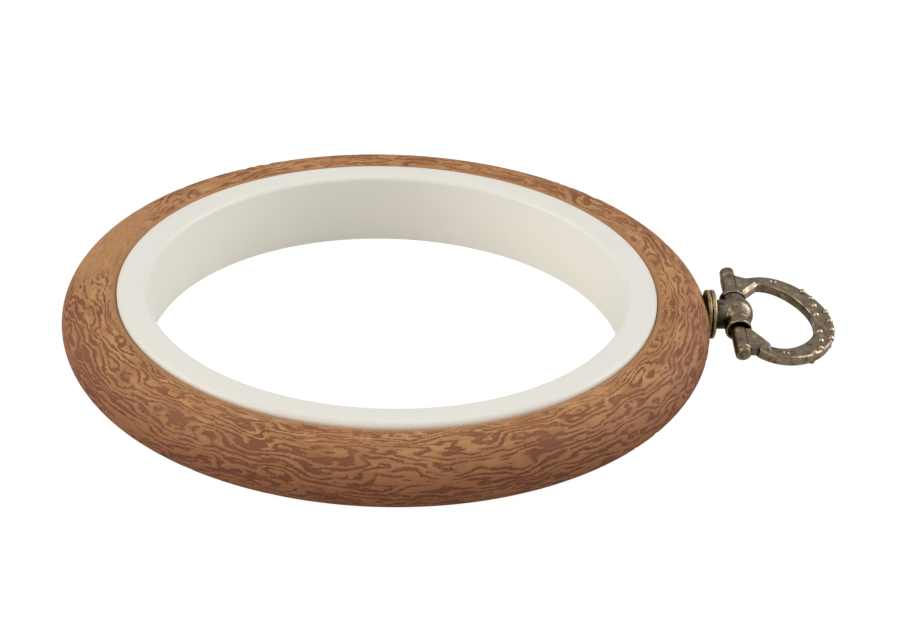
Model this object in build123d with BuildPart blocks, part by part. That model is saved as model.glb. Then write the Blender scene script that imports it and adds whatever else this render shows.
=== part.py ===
from build123d import *
import os
from math import cos, radians, sin, tau

# Embroidery hoop with a rigid white inner ring, a flexible wood-grain outer ring and a swivelling hanger.
# Millimetres. The origin is on the hoop's axis in the plane that it lies on, +Z is up, and the hanger
# points along +X. Every piece is drawn where it sits when the hoop lies flat.

# One overrun serves every cut that goes right through, and edges count as one size within same_size
overrun = 1.0
same_size = 0.001

# Inner ring: an upright wall with rounded top edges and a lip below
seam_radius = 43.2
inner_width = 4.9
inner_height = 12.1
inner_edge_rounding = 0.9
lip_width = 2.2
lip_height = 0.9
lip_rounding = 0.3

# Outer ring: a round-sided section that stands on the lip and meets the white ring at the seam
outer_width = 8.8
section_radius = 5.5
foot_offset = 0.74
crest_drop = 0.2
seam_drop = 0.8
seam_rounding = 0.25
hoop_fit = 0.1
lip_fit = 0.05

# Screw that holds the hanger, driven from inside the outer ring
screw_radius = 1.0
screw_running_fit = 0.05
thread_fit = 0.02
screw_tip_gap = 0.2
screw_tip_chamfer = 0.2
head_radius = 1.9
head_height = 1.3
head_rounding = 0.5
recess_width = 0.5
recess_length = 2.2
recess_depth = 0.6
pocket_depth = 2.6
pocket_radius = 2.7

# Washers: a steel one under the screw head, and two brass ones outside
steel_washer_radius = 2.5
steel_washer_thickness = 0.5
washer_bore_fit = 0.1
brass_washer_radius = 4.0
brass_washer_thickness = 0.7
brass_washer_rounding = 0.25
washer_gap = 0.05
seat_depth = 0.3
seat_fit = 0.15

# Eye: a ball on a short neck, with a cross barrel that the pin turns in
pin_reach = 4.7
ball_radius = 2.9
neck_radius = 2.4
neck_rounding = 0.4
barrel_radius = 1.95
barrel_half_length = 4.2
barrel_rim_radius = 2.15
barrel_rim_length = 0.9
barrel_rim_rounding = 0.25
barrel_mouth_radius = 1.8
barrel_mouth_depth = 0.7
eye_tip_wall = 0.5

# Pin: a straight rod with a head past its near lug, riveted over past its far lug
pin_radius = 1.0
pin_running_fit = 0.05
pin_press_fit = 0.01
pin_head_length = 1.0
pin_head_radius = 1.28
pin_rivet_length = 1.8
pin_rivet_radius = 1.2
pin_chamfer = 0.25

# Ring: an egg-shaped band whose two arms flare into roots and lugs around the pin
ring_swivel = 10.0
ring_droop = 10.0
band_thickness = 1.9
band_rounding = 0.45
band_centre = 7.6
band_half_length = 9.1
band_half_width = 10.3
band_skew_share = -0.10
band_tip_width = 3.35
band_side_width = 2.45
hole_start = 0.85
hole_skew_share = -0.19
band_start = 3.0
egg_points = 16
lug_radius = 1.32
lug_side_gap = 0.25
lug_inset = 1.0
lug_rounding = 0.2
root_thickness = 2.6
root_chamfer = 0.55
root_reach = 4.4
root_flare_start = 1.7
root_tip_width = 2.25
root_tip_inset = 0.4
root_waist_reach = 2.3
root_waist_inset = 0.3
root_waist_rounding = 1.0

# Beads on both faces of the ring, as shares of its reach and its half width
bead_radius = 0.58
bead_sink_share = 0.36
bead_places_shares = [
    (0.730, 0.765),
    (0.804, 0.620),
    (0.822, 0.437),
    (0.827, 0.212),
    (0.934, 0.325),
    (0.957, 0.110),
]
small_bead_radius = 0.33
small_bead_places_shares = [(0.406, 0.890), (0.452, 0.890)]

# Places that follow from the sizes above
bore_radius = seam_radius - inner_width
outer_radius = seam_radius + outer_width
outer_wall = seam_radius + hoop_fit
section_centre = outer_radius - section_radius
section_base = lip_height + lip_fit
crest_height = inner_height - crest_drop
mid_height = (section_base + crest_height) / 2
pocket_floor = outer_wall + pocket_depth
head_seat = pocket_floor - steel_washer_thickness - washer_gap
seat_face = outer_radius - seat_depth
swivel_washer_face = seat_face + brass_washer_thickness + washer_gap
neck_face = swivel_washer_face + brass_washer_thickness
pin_axis_x = outer_radius + pin_reach
pin_bore_radius = pin_radius + pin_running_fit
thread_end = pin_axis_x - pin_bore_radius - eye_tip_wall
lug_start = barrel_half_length + lug_side_gap
lug_end = band_half_width - lug_inset
root_waist = lug_end - root_waist_inset
root_tip_outer = band_half_width - root_tip_inset
root_tip_inner = root_tip_outer - root_tip_width
pin_near_end = lug_end + pin_head_length
pin_far_end = lug_end + pin_rivet_length
ring_reach = band_centre + band_half_length
hole_end = ring_reach - band_tip_width
hole_centre = (hole_start + hole_end) / 2
hole_half_length = (hole_end - hole_start) / 2
hole_half_width = band_half_width - band_side_width

# The pin lies across the hanger's axis, turned by the swivel, and the ring droops about the pin
pin_direction = (0, cos(radians(ring_swivel)), sin(radians(ring_swivel)))
eye_up = (0, -sin(radians(ring_swivel)), cos(radians(ring_swivel)))
pin_centre = (pin_axis_x, 0, mid_height)
eye_plane = Plane(origin=pin_centre, x_dir=(1, 0, 0), z_dir=eye_up)
ring_plane = eye_plane.rotated((0, ring_droop, 0))
pin_plane = Plane(origin=pin_centre, x_dir=(1, 0, 0), z_dir=pin_direction)
hanger_axis_plane = Plane(origin=(0, 0, mid_height), x_dir=(0, 1, 0), z_dir=(1, 0, 0))


def egg(centre, half_length, half_width, skew_share):
    """Points of an egg-shaped outline: an ellipse whose width changes along its length."""
    angles = [tau * step / egg_points for step in range(egg_points)]
    return [
        (centre + half_length * cos(a), half_width * sin(a) * (1 + skew_share * cos(a)))
        for a in angles
    ]


def circles_of(builder, radius):
    """The round edges that have a given radius."""
    circles = builder.edges().filter_by(GeomType.CIRCLE)
    return circles.filter_by(lambda edge: abs(edge.radius - radius) < same_size)


def save(builder, name):
    """Label a finished piece and write its STEP file."""
    builder.part.label = name
    export_step(builder.part, f"parts/{name}.step")


def make_washer(face, radius, bore, thickness, rounding):
    """A washer around the hanger's axis, from its inner face outwards."""
    with BuildPart() as washer:
        with BuildSketch(hanger_axis_plane.offset(face)):
            Circle(radius)
            Circle(bore, mode=Mode.SUBTRACT)
        extrude(amount=thickness)
        if rounding:
            fillet(circles_of(washer, radius), rounding)
    return washer


# Inner ring
with BuildPart() as inner_hoop:
    with BuildSketch(Plane.XZ) as inner_profile:
        with BuildLine():
            Polyline(
                (bore_radius, 0),
                (seam_radius + lip_width, 0),
                (seam_radius + lip_width, lip_height),
                (seam_radius, lip_height),
                (seam_radius, inner_height),
                (bore_radius, inner_height),
                close=True,
            )
        make_face()
        fillet(inner_profile.vertices().group_by(Axis.Y)[-1], inner_edge_rounding)
        fillet(inner_profile.vertices().group_by(Axis.X)[-1], lip_rounding)
    revolve(axis=Axis.Z)

# Outer ring, with the screw's pocket and hole and the washers' seat
with BuildPart() as outer_hoop:
    with BuildSketch(Plane.XZ) as outer_profile:
        with BuildLine():
            Line((outer_wall, section_base), (section_centre + foot_offset, section_base))
            ThreePointArc(
                (section_centre + foot_offset, section_base),
                (outer_radius, mid_height),
                (section_centre, crest_height),
            )
            TangentArc(
                (section_centre, crest_height),
                (outer_wall, crest_height - seam_drop),
                tangent=(-1, 0),
            )
            Line((outer_wall, crest_height - seam_drop), (outer_wall, section_base))
        make_face()
        fillet(outer_profile.vertices().group_by(Axis.X)[0], seam_rounding)
    revolve(axis=Axis.Z)
    with BuildSketch(hanger_axis_plane.offset(outer_wall - overrun)):
        Circle(pocket_radius)
    extrude(amount=pocket_depth + overrun, mode=Mode.SUBTRACT)
    with BuildSketch(hanger_axis_plane.offset(pocket_floor - overrun)):
        Circle(screw_radius + screw_running_fit)
    extrude(amount=outer_radius - pocket_floor + 2 * overrun, mode=Mode.SUBTRACT)
    with BuildSketch(hanger_axis_plane.offset(seat_face)):
        Circle(brass_washer_radius + seat_fit)
    extrude(amount=seat_depth + overrun, mode=Mode.SUBTRACT)

# Washers, from the pocket outwards
screw_washer = make_washer(
    pocket_floor - steel_washer_thickness,
    steel_washer_radius,
    screw_radius + washer_bore_fit,
    steel_washer_thickness,
    0,
)
seat_washer = make_washer(
    seat_face,
    brass_washer_radius,
    screw_radius + washer_bore_fit,
    brass_washer_thickness,
    brass_washer_rounding,
)
swivel_washer = make_washer(
    swivel_washer_face,
    brass_washer_radius,
    screw_radius + washer_bore_fit,
    brass_washer_thickness,
    brass_washer_rounding,
)

# Screw: pan head with a cross recess, and a shank that ends in the eye's neck
with BuildPart() as hanger_screw:
    with BuildSketch(hanger_axis_plane.offset(head_seat - head_height)):
        Circle(head_radius)
    extrude(amount=head_height)
    fillet(hanger_screw.edges().sort_by(Axis.X)[0], head_rounding)
    with BuildSketch(hanger_axis_plane.offset(head_seat)):
        Circle(screw_radius)
    extrude(amount=thread_end - screw_tip_gap - head_seat)
    chamfer(hanger_screw.edges().sort_by(Axis.X)[-1], screw_tip_chamfer)
    with BuildSketch(hanger_axis_plane.offset(head_seat - head_height)):
        Rectangle(recess_length, recess_width)
        Rectangle(recess_width, recess_length)
    extrude(amount=recess_depth, mode=Mode.SUBTRACT)

# Eye
with BuildPart() as hanger_eye:
    with BuildSketch(hanger_axis_plane.offset(neck_face)):
        Circle(neck_radius)
    extrude(amount=pin_axis_x - neck_face)
    with Locations(pin_centre):
        Sphere(ball_radius)
    fillet(circles_of(hanger_eye, neck_radius).sort_by(Axis.X)[-1], neck_rounding)
    with BuildSketch(pin_plane):
        Circle(barrel_radius)
    extrude(amount=barrel_half_length, both=True)
    for side in (-1, 1):
        with BuildSketch(pin_plane.offset(side * (barrel_half_length - barrel_rim_length / 2))):
            Circle(barrel_rim_radius)
        extrude(amount=barrel_rim_length / 2, both=True)
    rims = circles_of(hanger_eye, barrel_rim_radius).group_by(Axis(pin_centre, pin_direction))
    fillet([*rims[0], *rims[-1]], barrel_rim_rounding)
    with BuildSketch(pin_plane):
        Circle(pin_bore_radius)
    extrude(amount=barrel_half_length + overrun, both=True, mode=Mode.SUBTRACT)
    for side in (-1, 1):
        with BuildSketch(pin_plane.offset(side * barrel_half_length)):
            Circle(barrel_mouth_radius)
        extrude(amount=barrel_mouth_depth, both=True, mode=Mode.SUBTRACT)
    with BuildSketch(hanger_axis_plane.offset(neck_face)):
        Circle(screw_radius + thread_fit)
    extrude(amount=thread_end - neck_face, mode=Mode.SUBTRACT)

# Pin
with BuildPart() as hanger_pin:
    with BuildSketch(pin_plane):
        Circle(pin_radius)
    extrude(amount=lug_end, both=True)
    with BuildSketch(pin_plane.offset(lug_end)):
        Circle(pin_rivet_radius)
    extrude(amount=pin_far_end - lug_end)
    with BuildSketch(pin_plane.offset(-lug_end)):
        Circle(pin_head_radius)
    extrude(amount=lug_end - pin_near_end)
    pin_ends = hanger_pin.edges().filter_by(GeomType.CIRCLE).sort_by(Axis(pin_centre, pin_direction))
    chamfer([pin_ends[0], pin_ends[-1]], pin_chamfer)

# Root of one arm: a flared block from the lug to the band, with its edges cut back
with BuildPart() as arm_root:
    with BuildSketch(ring_plane.offset(-root_thickness / 2)) as root_outline:
        with BuildLine():
            Polyline(
                (0, lug_start),
                (root_flare_start, lug_start),
                (root_reach, root_tip_inner),
                (root_reach, root_tip_outer),
                (root_waist_reach, root_waist),
                (0, lug_end),
                close=True,
            )
        make_face()
        waist = root_outline.vertices().sort_by_distance((root_waist_reach, root_waist))[0]
        fillet(waist, root_waist_rounding)
    extrude(amount=root_thickness)
    root_faces = arm_root.faces().filter_by(Axis(pin_centre, ring_plane.z_dir))
    chamfer(root_faces.edges(), root_chamfer)

# Lug of one arm: a short tube around the pin
with BuildPart() as arm_lug:
    with BuildSketch(pin_plane.offset(lug_start)):
        Circle(lug_radius)
    extrude(amount=lug_end - lug_start)
    fillet(arm_lug.edges().filter_by(GeomType.CIRCLE), lug_rounding)

# Ring: the band, both arms, the pin's bore and the beads
with BuildPart() as hanger_ring:
    with BuildSketch(ring_plane.offset(-band_thickness / 2)):
        with BuildLine():
            Spline(egg(band_centre, band_half_length, band_half_width, band_skew_share), periodic=True)
        make_face()
        with BuildLine():
            Spline(egg(hole_centre, hole_half_length, hole_half_width, hole_skew_share), periodic=True)
        make_face(mode=Mode.SUBTRACT)
        with Locations((band_start, 0)):
            Rectangle(
                ring_reach,
                2 * band_half_width + overrun,
                align=(Align.MIN, Align.CENTER),
                mode=Mode.INTERSECT,
            )
    extrude(amount=band_thickness)
    fillet(hanger_ring.edges().filter_by(GeomType.BSPLINE), band_rounding)
    for half in (arm_root.part, arm_lug.part):
        add(half)
        add(mirror(half, about=Plane(origin=pin_centre, z_dir=pin_direction), mode=Mode.PRIVATE))
    with BuildSketch(pin_plane):
        Circle(pin_radius + pin_press_fit)
    extrude(amount=lug_end + overrun, both=True, mode=Mode.SUBTRACT)
    for radius, places in (
        (bead_radius, bead_places_shares),
        (small_bead_radius, small_bead_places_shares),
    ):
        height = band_thickness / 2 - radius * bead_sink_share
        for reach_share, width_share in places:
            for side in (-1, 1):
                for face in (-1, 1):
                    width = side * width_share * band_half_width
                    place = Vector(reach_share * ring_reach, width, face * height)
                    with Locations(ring_plane.from_local_coords(place)):
                        Sphere(radius)

os.makedirs("parts", exist_ok=True)
save(inner_hoop, "inner_hoop")
save(outer_hoop, "outer_hoop")
save(screw_washer, "screw_washer")
save(seat_washer, "seat_washer")
save(swivel_washer, "swivel_washer")
save(hanger_screw, "hanger_screw")
save(hanger_eye, "hanger_eye")
save(hanger_pin, "hanger_pin")
save(hanger_ring, "hanger_ring")
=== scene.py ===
# %% [markdown]
# # An embroidery hoop with a hanging ring
#
# The hoop has a rigid white inner ring and a soft vinyl outer ring that is moulded and printed to
# look like carved wood. A small cast-brass eye and ring are screwed to its edge, so that the
# finished work can hang on a wall. The hard pieces come from the CAD model, and this script gives
# them their finish, makes the carved surface of the outer ring, and sets up the studio.
#
# Blender works in metres, and so does the frame. The sizes below are written in millimetres times
# `mm`.

# %% Load the frame
import math

import bpy
import numpy as np
from mathutils import Matrix, Vector


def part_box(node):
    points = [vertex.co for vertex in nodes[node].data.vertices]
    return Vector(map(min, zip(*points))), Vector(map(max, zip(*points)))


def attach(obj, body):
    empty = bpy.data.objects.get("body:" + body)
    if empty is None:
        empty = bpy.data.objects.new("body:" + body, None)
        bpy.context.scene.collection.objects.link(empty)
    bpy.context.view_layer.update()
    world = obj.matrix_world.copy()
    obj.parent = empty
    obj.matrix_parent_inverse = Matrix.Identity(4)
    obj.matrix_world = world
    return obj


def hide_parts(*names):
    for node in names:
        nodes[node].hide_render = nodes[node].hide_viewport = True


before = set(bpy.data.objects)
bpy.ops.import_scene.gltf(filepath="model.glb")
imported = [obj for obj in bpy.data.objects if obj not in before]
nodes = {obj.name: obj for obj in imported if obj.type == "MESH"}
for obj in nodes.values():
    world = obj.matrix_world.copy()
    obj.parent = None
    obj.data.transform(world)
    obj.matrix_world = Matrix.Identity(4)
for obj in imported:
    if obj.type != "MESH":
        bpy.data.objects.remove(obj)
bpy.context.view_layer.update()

mm = 0.001
print("nodes:", sorted(nodes))

# %% [markdown]
# ## Measures that follow from the frame
#
# Wherever a size can be read from the CAD pieces it is read, so that this script follows a changed
# model. The outer ring's box gives its radius and the height of its section, and the white ring's
# box gives the height of the rim and the reach of the lip at its foot.

# %% Read the main sizes
outer_low, outer_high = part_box("outer_hoop")
inner_low, inner_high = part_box("inner_hoop")
seat_low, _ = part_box("seat_washer")

outer_radius = outer_high.y
crest_height = outer_high.z
foot_height = outer_low.z
mid_height = (crest_height + foot_height) / 2
section_half_height = (crest_height - foot_height) / 2
rim_height = inner_high.z
lip_radius = inner_high.y
print(f"outer ring: radius {outer_radius / mm:.1f} mm")
print(f"its section: from {foot_height / mm:.2f} to {crest_height / mm:.2f} mm above the table")

# %% [markdown]
# ## Camera
#
# The photograph was matched by fitting circles of known height to the rings' edges. The fit gives
# a 100 mm lens at about 0.4 m, nearly 29 degrees above the table. The camera first looks straight
# at the middle of the seam between the rings, and small turns then bring the picture into the
# photograph's frame. Each turn mixes two of the camera's three directions.

# %% Place the camera
lens = 100.0
seam_height = 11.1 * mm
camera_distance = 401.546 * mm
camera_elevation = math.radians(28.6185)
camera_heading = math.radians(-2.4)
camera_pan = math.radians(1.44368)
camera_tilt = math.radians(-0.742253)
camera_roll = math.radians(-1.39470)


def turned(first, second, angle):
    """The first direction, turned by an angle away from the second."""
    return first * math.cos(angle) - second * math.sin(angle)


heading = Matrix.Rotation(camera_heading, 3, "Z")
towards = Vector((0, -math.cos(camera_elevation), math.sin(camera_elevation)))
place = heading @ (towards * camera_distance) + Vector((0, 0, seam_height))
forward = heading @ -towards
right = heading @ Vector((1, 0, 0))
up = right.cross(forward)
right, forward = turned(right, forward, camera_pan), turned(forward, right, -camera_pan)
up, forward = turned(up, forward, camera_tilt), turned(forward, up, -camera_tilt)
right, up = turned(right, up, camera_roll), turned(up, right, -camera_roll)

camera_data = bpy.data.cameras.new("camera")
camera_data.lens = lens
camera_data.clip_start = 0.01
camera = bpy.data.objects.new("camera", camera_data)
directions = Matrix((right, up, -forward)).transposed().to_4x4()
camera.matrix_world = Matrix.Translation(place) @ directions
bpy.context.scene.collection.objects.link(camera)
bpy.context.scene.camera = camera
print("camera at", [round(x, 4) for x in place])

# %% [markdown]
# ## Floor and light
#
# The object was photographed on white in a light tent, with almost no shadow. The tent is the
# world's background. It is bright overhead and dimmer towards the horizon, so that polished metal
# has something dark to mirror. A Map Range node turns the height of the view into the strength.

# %% Hang the light tent
tent_colour = (1.0, 1.0, 1.0, 1)
tent_strength = 0.55
tent_horizon_share = 0.5
tent_full_height_share = 0.6

scene = bpy.context.scene
scene.view_settings.view_transform = "Standard"
scene.view_settings.look = "None"

world = bpy.data.worlds.new("light tent")
world.use_nodes = True
tree = world.node_tree
tent = tree.nodes["Background"]
tent.inputs["Color"].default_value = tent_colour
direction = tree.nodes.new("ShaderNodeTexCoord")
apart = tree.nodes.new("ShaderNodeSeparateXYZ")
climb = tree.nodes.new("ShaderNodeMapRange")
climb.inputs["From Min"].default_value = 0.0
climb.inputs["From Max"].default_value = tent_full_height_share
climb.inputs["To Min"].default_value = tent_strength * tent_horizon_share
climb.inputs["To Max"].default_value = tent_strength
tree.links.new(direction.outputs["Generated"], apart.inputs[0])
tree.links.new(apart.outputs["Z"], climb.inputs["Value"])
tree.links.new(climb.outputs["Result"], tent.inputs["Strength"])
scene.world = world
print("tent:", tent_strength, "overhead,", tent_strength * tent_horizon_share, "at the horizon")

# %% [markdown]
# Four square softboxes stand around the tent and point at the hoop. The two at the sides are the
# strongest, because they light the upright walls of the rings. The front one is dim and warm,
# which keeps the near side of the vinyl darker than its ends.


# %% Place the softboxes
def make_light(name, place, size, power, colour):
    """A square softbox that points at the middle of the hoop."""
    data = bpy.data.lights.new(name, "AREA")
    data.shape = "SQUARE"
    data.size = size
    data.energy = power
    data.color = colour
    light = bpy.data.objects.new(name, data)
    light.location = place
    light.rotation_euler = (-Vector(place)).to_track_quat("-Z", "Y").to_euler()
    scene.collection.objects.link(light)
    return light


white = (1.0, 1.0, 1.0)
soft_white = (1.0, 0.985, 0.95)
warm_white = (1.0, 0.92, 0.78)
softboxes = [
    make_light("overhead softbox", (0.05, 0.05, 0.9), size=0.35, power=0.25, colour=white),
    make_light("right softbox", (0.8, 0.1, 0.4), size=0.7, power=4.8, colour=white),
    make_light("left softbox", (-0.8, -0.1, 0.4), size=0.7, power=4.6, colour=soft_white),
    make_light("front softbox", (-0.25, -0.85, 0.4), size=0.6, power=1.35, colour=warm_white),
]
print("softboxes:", len(softboxes))

# %% [markdown]
# The paper is a large flat sheet just below the hoop. Its own colour is a light warm grey, which
# throws some light back up on the flanks and the inner walls. For the camera alone it also glows.
# That keeps the paper white in the picture, and adds no light to the object.

# %% Lay the paper
paper_size = 6.0
paper_gap = 0.05 * mm
paper_colour = (0.66, 0.65, 0.62, 1)
paper_roughness = 0.9
paper_glow = 0.88
paper_brightness = 1.11
glow_colour = (1, 1, 1, 1)

half = paper_size / 2
corners = [(-half, -half, 0), (half, -half, 0), (half, half, 0), (-half, half, 0)]
paper_mesh = bpy.data.meshes.new("paper")
paper_mesh.from_pydata(corners, [], [(0, 1, 2, 3)])
paper = bpy.data.objects.new("paper", paper_mesh)
paper.location.z = inner_low.z - paper_gap
scene.collection.objects.link(paper)

paper_material = bpy.data.materials.new("white paper")
paper_material.use_nodes = True
tree = paper_material.node_tree
surface = tree.nodes["Principled BSDF"]
surface.inputs["Base Color"].default_value = paper_colour
surface.inputs["Roughness"].default_value = paper_roughness
glow = tree.nodes.new("ShaderNodeEmission")
glow.inputs["Color"].default_value = glow_colour
glow.inputs["Strength"].default_value = paper_brightness
seen = tree.nodes.new("ShaderNodeLightPath")
share = tree.nodes.new("ShaderNodeMath")
share.operation = "MULTIPLY"
share.inputs[1].default_value = paper_glow
blend = tree.nodes.new("ShaderNodeMixShader")
tree.links.new(seen.outputs["Is Camera Ray"], share.inputs[0])
tree.links.new(share.outputs[0], blend.inputs[0])
tree.links.new(surface.outputs[0], blend.inputs[1])
tree.links.new(glow.outputs[0], blend.inputs[2])
tree.links.new(blend.outputs[0], tree.nodes["Material Output"].inputs["Surface"])
paper.data.materials.append(paper_material)
print("paper:", paper_size, "m wide")

# %% [markdown]
# ## Helpers for node trees
#
# Shader trees and geometry trees share most of their maths nodes. A few short helpers add a node,
# set its inputs and link it in one line, so that a chain of nodes reads like a formula.


# %% Node helpers
def put(tree, socket, value):
    """Give a socket a value, or link it to another socket."""
    if isinstance(value, bpy.types.NodeSocket):
        tree.links.new(value, socket)
    else:
        socket.default_value = value


def calc(tree, operation, *values):
    """A Math node on one, two or three values or sockets."""
    node = tree.nodes.new("ShaderNodeMath")
    node.operation = operation
    for socket, value in zip(node.inputs, values):
        put(tree, socket, value)
    return node.outputs[0]


def scaled(tree, vector, factors):
    """A vector times a fixed factor along each axis."""
    node = tree.nodes.new("ShaderNodeVectorMath")
    node.operation = "MULTIPLY"
    put(tree, node.inputs[0], vector)
    node.inputs[1].default_value = factors
    return node.outputs["Vector"]


def noise(tree, vector, scale, detail, roughness):
    """Soft random values from 0 to 1, the same in shader trees and geometry trees."""
    node = tree.nodes.new("ShaderNodeTexNoise")
    put(tree, node.inputs["Vector"], vector)
    put(tree, node.inputs["Scale"], scale)
    node.inputs["Detail"].default_value = detail
    node.inputs["Roughness"].default_value = roughness
    return node.outputs[0]


def step_between(tree, value, low, high):
    """0 below low, 1 above high, and a smooth rise between them."""
    node = tree.nodes.new("ShaderNodeMapRange")
    node.interpolation_type = "SMOOTHSTEP"
    put(tree, node.inputs["Value"], value)
    put(tree, node.inputs["From Min"], low)
    put(tree, node.inputs["From Max"], high)
    return node.outputs["Result"]


def mix_colour(tree, factor, first, second):
    """A colour between two others."""
    node = tree.nodes.new("ShaderNodeMix")
    node.data_type = "RGBA"
    put(tree, node.inputs["Factor"], factor)
    put(tree, node.inputs[6], first)
    put(tree, node.inputs[7], second)
    return node.outputs[2]


def bump(tree, height, depth, normal=None):
    """Turn a height into a bent normal; depth is the height's real size."""
    node = tree.nodes.new("ShaderNodeBump")
    node.inputs["Distance"].default_value = depth
    put(tree, node.inputs["Height"], height)
    if normal is not None:
        put(tree, node.inputs["Normal"], normal)
    return node.outputs["Normal"]


def srgb(red, green, blue):
    """A colour picked on screen, from 0 to 255, as linear values, by the sRGB standard's curve."""
    shares = [channel / 255 for channel in (red, green, blue)]
    linear = [((s + 0.055) / 1.055) ** 2.4 if s > 0.04045 else s / 12.92 for s in shares]
    return (*linear, 1)


def new_group(name, kind, inputs, outputs):
    """An empty node group with named sockets, and its two end nodes."""
    group = bpy.data.node_groups.new(name, kind)
    for direction, sockets in (("INPUT", inputs), ("OUTPUT", outputs)):
        for label, socket_type, *start in sockets:
            socket = group.interface.new_socket(label, in_out=direction, socket_type=socket_type)
            if start:
                socket.default_value = start[0]
    return group, group.nodes.new("NodeGroupInput"), group.nodes.new("NodeGroupOutput")


def place_group(tree, group, **values):
    """Put a shader group into a material. Underscores in the names stand for spaces."""
    node = tree.nodes.new("ShaderNodeGroup")
    node.node_tree = group
    for label, value in values.items():
        put(tree, node.inputs[label.replace("_", " ")], value)
    return node.outputs


def new_material(name, roughness, metallic=0.0):
    """A material, its tree and its Principled shader. Nodes may replace the plain roughness."""
    material = bpy.data.materials.new(name)
    material.use_nodes = True
    surface = material.node_tree.nodes["Principled BSDF"]
    surface.inputs["Roughness"].default_value = roughness
    surface.inputs["Metallic"].default_value = metallic
    return material, material.node_tree, surface


def object_place(tree):
    """Where a point of the surface is, in metres."""
    return tree.nodes.new("ShaderNodeTexCoord").outputs["Object"]


def dress(piece, material):
    """Give a piece its one finish."""
    piece.data.materials.clear()
    piece.data.materials.append(material)


print("helpers ready")

# %% [markdown]
# ## The carved grain
#
# The outer ring's pattern is a relief: flat tan ridges stand a tenth of a millimetre or so above
# reddish hollows. Long streaks follow the ring, bend into hooks and close into loops. Such a
# figure can be made from stripes. Each point gets a place on the unrolled ring: how far along, and
# how far around its section. Stripes across the section become streaks along the ring, and large
# soft noise pushed into their phase bends them into hooks and loops. Slower noise makes whole
# stretches darker or paler, long thin noise splits the streaks into splinters, and the finest
# makes their edges ragged.
#
# The carving fades out at the seam, at the foot and around the washers' seat, where the mould was
# smooth. A long oval on the crest is nearly smooth too. The pattern's lengths are plain
# millimetres.
#
# The same chain of nodes is built twice, once in geometry nodes, where it lowers the hollows, and
# once in the material, where it colours them. The hollows are lowered towards the middle of the
# section, so a point's place on the unrolled ring stays the same and the colour lands exactly on
# the relief.

# %% Describe the grain
section_radius = 5.5 * mm
section_centre = outer_radius - section_radius
unroll_radius = 47.0
streak_pitch = 1.15
hook_size = (8.5, 2.9)
hook_strength = 6.4
wander_size = (2.6, 1.1)
wander_strength = 1.3
swell_size = (3.4, 1.0)
swell_strength = 1.8
drift_size = (13.0, 4.0)
drift_strength = 2.4
splinter_size = (2.3, 0.36)
splinter_strength = 4.2
ragged_size = (0.45, 0.24)
ragged_strength = 3.0
ridge_level = -0.2
ridge_edge = 0.35
seam_fade = (math.radians(121), math.radians(108))
foot_fade = (math.radians(-83), math.radians(-76))
relief_depth = 0.15
seat_clear = (4.2, 4.8)
oval_turn = math.radians(161.5)
oval_angle = math.radians(74)
oval_half_length = 13.0
oval_half_width = 3.6
oval_edge = (1.3, 0.8)
oval_carving = 0.2
print("grain: streaks about", streak_pitch, "mm apart")

# %% [markdown]
# Each size above is a pair in millimetres: how long the patches are along the ring, and how wide
# around its section. The first helper unrolls the ring, the second makes noise that is stretched
# along it, and the last adds everything up. Where the sum is above a level there is a ridge.


# %% Build the grain
def unrolled(tree, position):
    """A point's place on the unrolled ring, its section angle and its place in space, in mm."""
    apart = tree.nodes.new("ShaderNodeSeparateXYZ")
    put(tree, apart.inputs[0], scaled(tree, position, (1 / mm, 1 / mm, 1 / mm)))
    x, y, z = apart.outputs
    squares = calc(tree, "MULTIPLY_ADD", x, x, calc(tree, "MULTIPLY", y, y))
    radius = calc(tree, "SQRT", squares)
    across = calc(tree, "SUBTRACT", radius, section_centre / mm)
    above = calc(tree, "SUBTRACT", z, mid_height / mm)
    angle = calc(tree, "ARCTAN2", above, across)
    joined = tree.nodes.new("ShaderNodeCombineXYZ")
    stretch = calc(tree, "DIVIDE", unroll_radius, radius)
    put(tree, joined.inputs[0], calc(tree, "MULTIPLY", x, stretch))
    put(tree, joined.inputs[1], calc(tree, "MULTIPLY", y, stretch))
    put(tree, joined.inputs[2], calc(tree, "MULTIPLY", angle, section_half_height / mm))
    return joined.outputs[0], angle, (x, y, above)


def grain_noise(tree, where, size, detail, roughness=0.5):
    """Noise from -0.5 to 0.5, in patches of a size along the ring and around its section."""
    along, around = size
    place = scaled(tree, where, (1 / along, 1 / along, 1 / around))
    return calc(tree, "SUBTRACT", noise(tree, place, 1.0, detail, roughness), 0.5)


def far_from(tree, one_way, other_way):
    """The distance from a middle, of a point given by how far it is each way."""
    other_square = calc(tree, "MULTIPLY", other_way, other_way)
    return calc(tree, "SQRT", calc(tree, "MULTIPLY_ADD", one_way, one_way, other_square))


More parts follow.
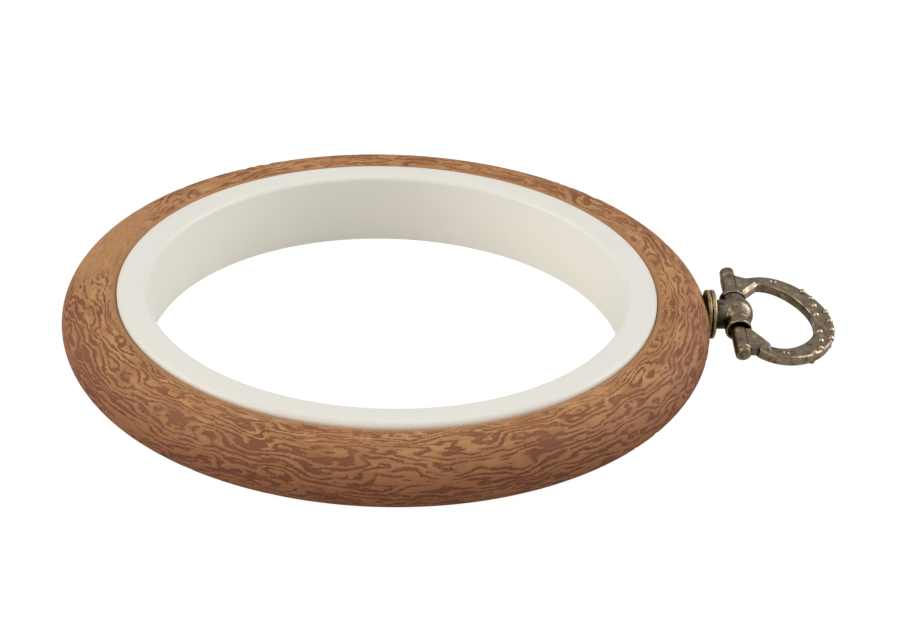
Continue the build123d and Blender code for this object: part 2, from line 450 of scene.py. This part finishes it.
def add_grain(tree, position):
    """Ridge or hollow (1 or 0), how much is carved, the unrolled place and the section's angle."""
    where, angle, (x, y, above) = unrolled(tree, position)
    around = calc(tree, "MULTIPLY", angle, section_half_height / mm)
    phase = calc(tree, "DIVIDE", around, streak_pitch)
    hooks = grain_noise(tree, where, hook_size, detail=1.0)
    phase = calc(tree, "MULTIPLY_ADD", hooks, hook_strength, phase)
    wander = grain_noise(tree, where, wander_size, detail=2.0)
    phase = calc(tree, "MULTIPLY_ADD", wander, wander_strength, phase)
    field = calc(tree, "SINE", calc(tree, "MULTIPLY", phase, math.tau))
    swell = grain_noise(tree, where, swell_size, detail=1.0)
    field = calc(tree, "MULTIPLY_ADD", swell, swell_strength, field)
    drift = grain_noise(tree, where, drift_size, detail=1.0)
    field = calc(tree, "MULTIPLY_ADD", drift, drift_strength, field)
    splinters = grain_noise(tree, where, splinter_size, detail=2.0)
    field = calc(tree, "MULTIPLY_ADD", splinters, splinter_strength, field)
    ragged = grain_noise(tree, where, ragged_size, detail=2.0, roughness=0.6)
    field = calc(tree, "MULTIPLY_ADD", ragged, ragged_strength, field)
    ridge = step_between(tree, field, ridge_level - ridge_edge, ridge_level + ridge_edge)

    seam = step_between(tree, angle, *seam_fade)
    foot = step_between(tree, angle, *foot_fade)
    from_screw = far_from(tree, y, above)
    off_seat = step_between(tree, from_screw, *seat_clear)
    seat = calc(tree, "MAXIMUM", off_seat, calc(tree, "LESS_THAN", x, 0.0))
    turn = calc(tree, "ARCTAN2", y, x)
    along = calc(tree, "MULTIPLY_ADD", turn, unroll_radius, -oval_turn * unroll_radius)
    aside = calc(tree, "SUBTRACT", around, oval_angle * section_half_height / mm)
    from_oval = far_from(
        tree,
        calc(tree, "DIVIDE", along, oval_half_length),
        calc(tree, "DIVIDE", aside, oval_half_width),
    )
    in_oval = step_between(tree, from_oval, *oval_edge)
    carved = calc(tree, "MULTIPLY", calc(tree, "MULTIPLY", seam, foot), seat)
    oval_share = calc(tree, "MULTIPLY_ADD", in_oval, oval_carving - 1, 1.0)
    carved = calc(tree, "MULTIPLY", carved, oval_share)
    return ridge, carved, where, angle


print("grain helpers ready")

# %% [markdown]
# ## The outer ring's mesh
#
# The ring is turned like a lathe piece: one outline, repeated round the axis. Its outline is the
# CAD section, drawn again with points close enough together for the relief. An arc runs from the
# foot round the outside to the crest, and a flatter arc falls from the crest to the white ring.
# The pocket for the screw and the flat seat for the washers are cut with a Boolean modifier,
# because a cutter keeps their edges crisp.

# %% Draw the section
point_pitch = 0.2 * mm
columns = 1440
crease_angle = math.radians(50)
wall_radius = 43.3 * mm
seam_drop = 0.8 * mm
seam_rounding = 0.25 * mm
foot_offset = 0.74 * mm
corner_steps = 6


def arc_through(start, middle, end, pitch):
    """Points of the arc through three points, about one pitch apart."""
    (ax, ay), (bx, by), (cx, cy) = start, middle, end
    a, b, c = ax * ax + ay * ay, bx * bx + by * by, cx * cx + cy * cy
    double = 2 * (ax * (by - cy) + bx * (cy - ay) + cx * (ay - by))
    x = (a * (by - cy) + b * (cy - ay) + c * (ay - by)) / double
    y = (a * (cx - bx) + b * (ax - cx) + c * (bx - ax)) / double
    radius = math.dist((x, y), start)
    first = math.atan2(ay - y, ax - x)
    last = math.atan2(cy - y, cx - x)
    count = max(2, round(abs(last - first) * radius / pitch))
    turns = np.linspace(first, last, count + 1)
    return [(x + radius * math.cos(t), y + radius * math.sin(t)) for t in turns]


def rounded_corner(before, corner, after, radius, steps):
    """Points of the arc that rounds the corner between two straight runs."""
    corner = Vector(corner)
    back = (Vector(before) - corner).normalized()
    on = (Vector(after) - corner).normalized()
    half = back.angle(on) / 2
    centre = corner + (back + on).normalized() * (radius / math.sin(half))
    first = corner + back * (radius / math.tan(half)) - centre
    last = corner + on * (radius / math.tan(half)) - centre
    turn = math.pi - 2 * half
    points = []
    for step in range(steps + 1):
        share = step / steps
        spoke = first * math.sin((1 - share) * turn) + last * math.sin(share * turn)
        points.append(tuple(centre + spoke / math.sin(turn)))
    return points


foot = (section_centre + foot_offset, foot_height)
flank = (outer_radius, mid_height)
crest = (section_centre, crest_height)
seam = (wall_radius, crest_height - seam_drop)
fall = section_centre - wall_radius
fall_radius = (fall**2 + seam_drop**2) / (2 * seam_drop)
fall_steps = round((fall - seam_rounding) / point_pitch)

outline = arc_through(foot, flank, crest, point_pitch)
for step in range(1, fall_steps):
    across = (fall - seam_rounding) * step / fall_steps
    drop = fall_radius - math.sqrt(fall_radius**2 - across**2)
    outline.append((section_centre - across, crest_height - drop))
wall_foot = (wall_radius, foot_height)
outline += rounded_corner(outline[-1], seam, wall_foot, seam_rounding, corner_steps)
outline += [(wall_radius, mid_height), wall_foot]
print("section outline:", len(outline), "points")

# %% [markdown]
# A small lathe function makes the ring, its cutter, and later the white ring. It repeats an
# outline round an axis and joins neighbouring points with four-sided faces.


# %% Turn the ring
def lathe(name, outline, steps, turn):
    """A closed outline turned round an axis. turn(a, b, angle) gives the point in space."""
    points = [turn(a, b, math.tau * k / steps) for k in range(steps) for a, b in outline]
    rows = len(outline)
    faces = [
        (
            k * rows + i,
            k * rows + (i + 1) % rows,
            (k + 1) % steps * rows + (i + 1) % rows,
            (k + 1) % steps * rows + i,
        )
        for k in range(steps)
        for i in range(rows)
    ]
    mesh = bpy.data.meshes.new(name)
    mesh.from_pydata(points, [], faces)
    mesh.update()
    made = bpy.data.objects.new(name, mesh)
    scene.collection.objects.link(made)
    return made


def about_z(radius, height, angle):
    return (radius * math.cos(angle), radius * math.sin(angle), height)


wood_ring = lathe("wood_grain_ring", outline, columns, about_z)
print("ring:", len(wood_ring.data.polygons), "faces before cutting")

# %% [markdown]
# The cutter is one turned piece with three steps: the pocket that takes the screw's head, the
# narrow hole for its shank, and the shallow seat that the brass washers rest on. It is turned
# about the hanger's axis, which runs outwards at the section's middle height.

# %% Cut the ring
overrun = 1.0 * mm
pocket_floor = 45.9 * mm
pocket_radius = 2.7 * mm
hole_radius = 1.05 * mm
seat_radius = 4.15 * mm
cutter_steps = 96
cutter_core = 0.01 * mm


def about_hanger(reach, radius, angle):
    return (reach, radius * math.sin(angle), mid_height + radius * math.cos(angle))


cutter = lathe(
    "cutter",
    [
        (wall_radius - overrun, cutter_core),
        (wall_radius - overrun, pocket_radius),
        (pocket_floor, pocket_radius),
        (pocket_floor, hole_radius),
        (seat_low.x, hole_radius),
        (seat_low.x, seat_radius),
        (outer_radius + overrun, seat_radius),
        (outer_radius + overrun, cutter_core),
    ],
    cutter_steps,
    about_hanger,
)
cut = wood_ring.modifiers.new("cut", "BOOLEAN")
cut.operation = "DIFFERENCE"
cut.object = cutter
cut.solver = "EXACT"
bpy.context.view_layer.update()
evaluated = wood_ring.evaluated_get(bpy.context.evaluated_depsgraph_get())
cut_mesh = bpy.data.meshes.new_from_object(evaluated)
wood_ring.modifiers.clear()
wood_ring.data = cut_mesh
bpy.data.objects.remove(cutter)
print("ring:", len(wood_ring.data.polygons), "faces after cutting")

# %% [markdown]
# ## Raising the relief
#
# A geometry-nodes modifier moves each point inwards where the grain has a hollow. The modifier is
# a small tree of its own: it reads the position, works out the grain with the helper above, and
# sets the new position along the surface's normal. Faces stay smooth, so that light rolls over the
# soft edges.

# %% Add the relief
relief, start, end = new_group(
    "carved relief",
    "GeometryNodeTree",
    [("Geometry", "NodeSocketGeometry")],
    [("Geometry", "NodeSocketGeometry")],
)
position = relief.nodes.new("GeometryNodeInputPosition").outputs[0]
facing = relief.nodes.new("GeometryNodeInputNormal").outputs[0]
ridge, carved, *_ = add_grain(relief, position)
hollow = calc(relief, "MULTIPLY", calc(relief, "SUBTRACT", 1.0, ridge), carved)
sink = relief.nodes.new("ShaderNodeVectorMath")
sink.operation = "SCALE"
relief.links.new(facing, sink.inputs[0])
relief.links.new(calc(relief, "MULTIPLY", hollow, -relief_depth * mm), sink.inputs["Scale"])
move = relief.nodes.new("GeometryNodeSetPosition")
relief.links.new(start.outputs[0], move.inputs["Geometry"])
relief.links.new(sink.outputs[0], move.inputs["Offset"])
relief.links.new(move.outputs[0], end.inputs[0])

for face in wood_ring.data.polygons:
    face.use_smooth = True
wood_ring.data.set_sharp_from_angle(angle=crease_angle)
carving = wood_ring.modifiers.new("carved relief", "NODES")
carving.node_group = relief
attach(wood_ring, "outer")
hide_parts("outer_hoop")
print("relief:", relief_depth, "mm deep, from", len(relief.nodes), "nodes")

# %% [markdown]
# ## The white ring
#
# The inner ring is one plain moulding: an upright wall with rounded top edges and a thin lip at
# its foot, which the outer ring stands on. Gloss shows every uneven facet, so this ring too is
# turned here with evenly spaced columns, to the CAD ring's own section.

# %% Turn the white ring
bore_radius = 38.3 * mm
white_wall_radius = 43.2 * mm
lip_height = 0.9 * mm
rim_rounding = 0.9 * mm
lip_rounding = 0.3 * mm
white_columns = columns // 2
white_corner_steps = 2 * corner_steps

section = [
    (bore_radius, inner_low.z),
    (lip_radius, inner_low.z),
    (lip_radius, lip_height),
    (white_wall_radius, lip_height),
    (white_wall_radius, rim_height),
    (bore_radius, rim_height),
]
roundings = [0, lip_rounding, lip_rounding, 0, rim_rounding, rim_rounding]
white_outline = []
for i, (corner, rounding) in enumerate(zip(section, roundings)):
    before, after = section[i - 1], section[(i + 1) % len(section)]
    if rounding:
        white_outline += rounded_corner(before, corner, after, rounding, white_corner_steps)
    else:
        white_outline.append(corner)
white_ring = lathe("white_ring", white_outline, white_columns, about_z)
for face in white_ring.data.polygons:
    face.use_smooth = True
white_ring.data.set_sharp_from_angle(angle=crease_angle)
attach(white_ring, "inner")
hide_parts("inner_hoop")
print("white ring:", len(white_ring.data.polygons), "faces")

# %% [markdown]
# ## Effects that several finishes share
#
# Moulded and cast surfaces are never quite even. The first group gives every finish a slow change
# of tone and a fine height for a bump. The second serves the metals. It finds crevices, where old
# polish and tarnish stay dark and where shade falls; their darkening is patina and painted shade
# together. It also finds proud edges, where hands rub the metal bright. Both come from ambient
# occlusion: looking outwards it finds crevices, and looking inwards it finds thin edges.

# %% Build the shared groups
occlusion_samples = 8
open_level = 0.96
crevice_level = 0.6
edge_level = 0.5

uneven, start, end = new_group(
    "uneven surface",
    "ShaderNodeTree",
    [("Patch Scale", "NodeSocketFloat", 150.0), ("Grit Scale", "NodeSocketFloat", 4000.0)],
    [("Patches", "NodeSocketFloat"), ("Grit", "NodeSocketFloat")],
)
spot = object_place(uneven)
patches = noise(uneven, spot, start.outputs["Patch Scale"], detail=3.0, roughness=0.55)
grit = noise(uneven, spot, start.outputs["Grit Scale"], detail=2.0, roughness=0.6)
uneven.links.new(patches, end.inputs["Patches"])
uneven.links.new(grit, end.inputs["Grit"])

metal_wear_and_shade, start, end = new_group(
    "metal wear and shade",
    "ShaderNodeTree",
    [("Crevice Reach", "NodeSocketFloat", 0.8 * mm), ("Edge Reach", "NodeSocketFloat", 0.4 * mm)],
    [("Crevices", "NodeSocketFloat"), ("Edges", "NodeSocketFloat")],
)
for label, reach, inwards, full_level in (
    ("Crevices", "Crevice Reach", False, crevice_level),
    ("Edges", "Edge Reach", True, edge_level),
):
    shade = metal_wear_and_shade.nodes.new("ShaderNodeAmbientOcclusion")
    shade.inside = inwards
    shade.samples = occlusion_samples
    metal_wear_and_shade.links.new(start.outputs[reach], shade.inputs["Distance"])
    found = step_between(metal_wear_and_shade, shade.outputs["AO"], open_level, full_level)
    metal_wear_and_shade.links.new(found, end.inputs[label])
print("groups:", uneven.name, "and", metal_wear_and_shade.name)

# %% [markdown]
# ## Wood-grain vinyl
#
# The vinyl is dyed reddish brown, and a tan ink is wiped over the raised ridges. So the ridges are
# tan and the hollows keep the body's colour. The wiping pad presses hardest on the crest, so the
# ink gets thinner down the flank, and the inner wall and the underside have none. The lower flank
# is also painted darker than the body's colour, as painted shade where it turns away from the
# lights. The section's angle tells how thick the ink is and how deep the painted shade: 90 degrees
# is the crest, 0 the flank, and the wall begins near 125.

# %% Pick the vinyl's colours
hollow_colours = (srgb(129, 80, 54), srgb(151, 100, 68))
ridge_colours = (srgb(164, 114, 73), srgb(193, 147, 98))
# The flank colours are darker than the body's own colour. They are thinner ink, and painted shade
# on the lower flank, which faces away from the lights.
shaded_flank_colours = (srgb(105, 61, 39), srgb(142, 91, 59))
plain_colour = srgb(178, 130, 88)
# Below the upper angle the ink thins and the painted shade on the flank deepens.
ink_and_shade_fade = (math.radians(-20), math.radians(105))
inner_wall = (math.radians(124.6), math.radians(127))
underside = (math.radians(-82), math.radians(-88))
print("vinyl: the ink gets thinner below", round(math.degrees(ink_and_shade_fade[1])), "degrees")

# %% [markdown]
# Slow noise makes some stretches redder and some paler, and a fine noise speckles the ink. Vinyl
# is matt with a faint skin of gloss, stronger on the ridges, so the roughness follows the ridges
# as well.

# %% Finish the vinyl
patch_step = (0.32, 0.68)
tone_size = (5.0, 1.7)
mottle_size = (1.6, 1.0)
noise_step = (-0.2, 0.2)
plain_mottle = 0.45
speckle_step = (0.3, 0.7)
speckle_strength = 0.14
vinyl_gloss = 0.3
vinyl_roughness = 0.72
ridge_smoothing = -0.08
vinyl_grit_depth = 0.02 * mm

vinyl, tree, surface = new_material("wood-grain vinyl", roughness=0.6)
surface.inputs["Specular IOR Level"].default_value = vinyl_gloss
ridge, carved, where, angle = add_grain(tree, object_place(tree))
skin = place_group(tree, uneven, Patch_Scale=90.0, Grit_Scale=2600.0)
patches = step_between(tree, skin["Patches"], *patch_step)
tone_noise = grain_noise(tree, where, tone_size, detail=3.0, roughness=0.6)
tone = step_between(tree, tone_noise, *noise_step)
# Down the flank the colours go over to the flank colours: thinner ink and painted shade.
ink_and_light = step_between(tree, angle, *ink_and_shade_fade)
hollow_colour = mix_colour(tree, ink_and_light, shaded_flank_colours[0], mix_colour(tree, patches, *hollow_colours))
ridge_colour = mix_colour(tree, ink_and_light, shaded_flank_colours[1], mix_colour(tree, tone, *ridge_colours))
inked_and_shaded = mix_colour(tree, ridge, hollow_colour, ridge_colour)

mottle_noise = grain_noise(tree, where, mottle_size, detail=3.0, roughness=0.6)
mottle = step_between(tree, mottle_noise, *noise_step)
faint_mottle = calc(tree, "MULTIPLY", mottle, plain_mottle)
plain = mix_colour(tree, faint_mottle, plain_colour, ridge_colours[1])
colour = mix_colour(tree, carved, plain, inked_and_shaded)
on_wall = step_between(tree, angle, *inner_wall)
on_underside = step_between(tree, angle, *underside)
unprinted = mix_colour(tree, mottle, *hollow_colours)
colour = mix_colour(tree, calc(tree, "MAXIMUM", on_wall, on_underside), colour, unprinted)
grains = step_between(tree, skin["Grit"], *speckle_step)
speckle = calc(tree, "MULTIPLY", grains, speckle_strength)
put(tree, surface.inputs["Base Color"], mix_colour(tree, speckle, colour, hollow_colours[0]))
rough = calc(tree, "MULTIPLY_ADD", ridge, ridge_smoothing, vinyl_roughness)
put(tree, surface.inputs["Roughness"], rough)
put(tree, surface.inputs["Normal"], bump(tree, skin["Grit"], vinyl_grit_depth))
dress(wood_ring, vinyl)
print("vinyl:", len(tree.nodes), "nodes")

# %% [markdown]
# ## White plastic
#
# The inner ring is moulded in hard white plastic with a satin skin. Its colour is a warm white, a
# little off pure white so that it stands out from the paper. The bump is very slight: wide,
# shallow waves from the mould and a fine grit break up the reflections.

# %% Finish the white ring
white_colours = (srgb(226, 223, 214), srgb(231, 229, 221))
white_roughness = 0.34
white_unevenness = 0.12
mould_wave_depth = 0.06 * mm
white_grit_depth = 0.006 * mm

plastic, tree, surface = new_material("white plastic", roughness=0.4)
skin = place_group(tree, uneven, Patch_Scale=60.0, Grit_Scale=1800.0)
rough = calc(tree, "MULTIPLY_ADD", skin["Patches"], white_unevenness, white_roughness)
waves = bump(tree, skin["Patches"], mould_wave_depth)
put(tree, surface.inputs["Base Color"], mix_colour(tree, skin["Patches"], *white_colours))
put(tree, surface.inputs["Roughness"], rough)
put(tree, surface.inputs["Normal"], bump(tree, skin["Grit"], white_grit_depth, waves))
dress(white_ring, plastic)
print("plastic:", len(tree.nodes), "nodes")

# %% [markdown]
# ## Brass and steel
#
# The eye, pin and ring are cast, darkened in a bath and then tumbled, which rubs the high spots
# back to a yellowish metal. The beads stand proudest, so they are rubbed the most. A point is on a
# bead if it stands out from the ring's middle plane by more than half the band's thickness. That
# plane is tilted twice: the eye is turned a little about the hanger's axis, and the ring droops
# about its pin. The ring's arms and lugs stand out as far as its beads, so the mask starts beyond
# them.

# %% Find the bead tops
eye_turn = math.radians(10)
ring_droop = math.radians(10)
pin_reach = 4.7 * mm
arms_end = (4.8 * mm, 5.6 * mm)
pin_centre = Vector((outer_radius + pin_reach, 0, mid_height))
ring_normal = Vector(
    (
        math.sin(ring_droop),
        -math.cos(ring_droop) * math.sin(eye_turn),
        math.cos(ring_droop) * math.cos(eye_turn),
    )
)
bead_tops = (1.0 * mm, 1.22 * mm)
beads_begin = (pin_centre.x + arms_end[0], pin_centre.x + arms_end[1])


def on_bead_tops(tree):
    """1 on the beads, which stand out from the band on both sides, and 0 elsewhere on the ring."""
    spot = object_place(tree)
    across = tree.nodes.new("ShaderNodeVectorMath")
    across.operation = "DOT_PRODUCT"
    put(tree, across.inputs[0], spot)
    across.inputs[1].default_value = ring_normal
    height = calc(tree, "SUBTRACT", across.outputs["Value"], pin_centre.dot(ring_normal))
    proud = step_between(tree, calc(tree, "ABSOLUTE", height), *bead_tops)
    apart = tree.nodes.new("ShaderNodeSeparateXYZ")
    put(tree, apart.inputs[0], spot)
    return calc(tree, "MULTIPLY", proud, step_between(tree, apart.outputs["X"], *beads_begin))


print("beads are rubbed from", round(bead_tops[0] / mm, 2), "mm above the middle plane")

# %% [markdown]
# One function makes every metal from its three colours. Noise darkens some patches of the faces
# and wears others, then the edges and bead tops are brightened, and the crevices darkened last,
# with patina and painted shade together, so that this dark wins where two effects meet. A Bevel
# node softens the shading at the edges, as tumbling does.

# %% Describe the wear of metal
tarnish_step = (0.5, 0.7)
tarnish_strength = 0.6
worn_step = (0.46, 0.3)
worn_strength = 0.4
bead_shine = 0.55
# The crevice darkening is patina and painted shade. Its long reach darkens the neck between the
# washers and the ball, where shade falls.
crevice_strength = 0.9
crevice_reach = 2.4 * mm
edge_reach = 0.27 * mm
tarnish_roughening = 0.18
face_smoothing = -0.05
edge_smoothing = -0.1
bevel_samples = 6
cast_depth = 0.05 * mm
metal_grit_depth = 0.012 * mm


def make_metal(name, dark, body, bright, roughness, softness, wear, beaded=False):
    """A metal with patina and painted shade in its crevices, mottled faces and bright worn edges.
    """
    metal, tree, surface = new_material(name, roughness, metallic=1.0)
    skin = place_group(tree, uneven, Patch_Scale=720.0, Grit_Scale=5200.0)
    marks = place_group(tree, metal_wear_and_shade, Crevice_Reach=crevice_reach, Edge_Reach=edge_reach)
    tarnish = step_between(tree, skin["Patches"], *tarnish_step)
    worn = step_between(tree, skin["Patches"], *worn_step)
    colour = mix_colour(tree, calc(tree, "MULTIPLY", tarnish, tarnish_strength), body, dark)
    colour = mix_colour(tree, calc(tree, "MULTIPLY", worn, worn_strength), colour, bright)
    colour = mix_colour(tree, calc(tree, "MULTIPLY", marks["Edges"], wear), colour, bright)
    if beaded:
        shine = calc(tree, "MULTIPLY", on_bead_tops(tree), bead_shine)
        colour = mix_colour(tree, shine, colour, bright)
    # Painted shade and patina: the crevices are darkened towards the dark colour.
    crevice_patina_and_shade = calc(tree, "MULTIPLY", marks["Crevices"], crevice_strength)
    colour = mix_colour(tree, crevice_patina_and_shade, colour, dark)
    put(tree, surface.inputs["Base Color"], colour)
    rough = calc(tree, "MULTIPLY_ADD", tarnish, tarnish_roughening, roughness + face_smoothing)
    rough = calc(tree, "MULTIPLY_ADD", marks["Edges"], edge_smoothing, rough)
    put(tree, surface.inputs["Roughness"], rough)
    soft = tree.nodes.new("ShaderNodeBevel")
    soft.samples = bevel_samples
    soft.inputs["Radius"].default_value = softness
    cast = bump(tree, skin["Patches"], cast_depth, soft.outputs[0])
    put(tree, surface.inputs["Normal"], bump(tree, skin["Grit"], metal_grit_depth, cast))
    return metal


print("metal helper ready")

# %% [markdown]
# The eye, the pin and the ring share one antique brass, with the bead mask for the ring alone. The
# two washers are plain turned brass with less tarnish, and the screw and its washer are plated
# steel.

# %% Finish the metal pieces
antique_colours = (srgb(30, 24, 22), srgb(149, 132, 112), srgb(232, 214, 168))
worn_colours = (srgb(60, 48, 32), srgb(184, 161, 117), srgb(224, 208, 160))
steel_colours = (srgb(80, 76, 70), srgb(188, 184, 174), srgb(226, 224, 216))
antique_finish = {"roughness": 0.3, "softness": 0.2 * mm, "wear": 0.85}
worn_finish = {"roughness": 0.36, "softness": 0.06 * mm, "wear": 0.8}
steel_finish = {"roughness": 0.28, "softness": 0.05 * mm, "wear": 0.6}

antique_brass = make_metal("antique brass", *antique_colours, **antique_finish)
beaded_brass = make_metal("beaded antique brass", *antique_colours, **antique_finish, beaded=True)
worn_brass = make_metal("worn brass", *worn_colours, **worn_finish)
plated_steel = make_metal("plated steel", *steel_colours, **steel_finish)
finishes = {
    "hanger_eye": antique_brass,
    "hanger_pin": antique_brass,
    "hanger_ring": beaded_brass,
    "seat_washer": worn_brass,
    "swivel_washer": worn_brass,
    "hanger_screw": plated_steel,
    "screw_washer": plated_steel,
}
for name, metal in finishes.items():
    dress(nodes[name], metal)
    print(name, "is", metal.name)
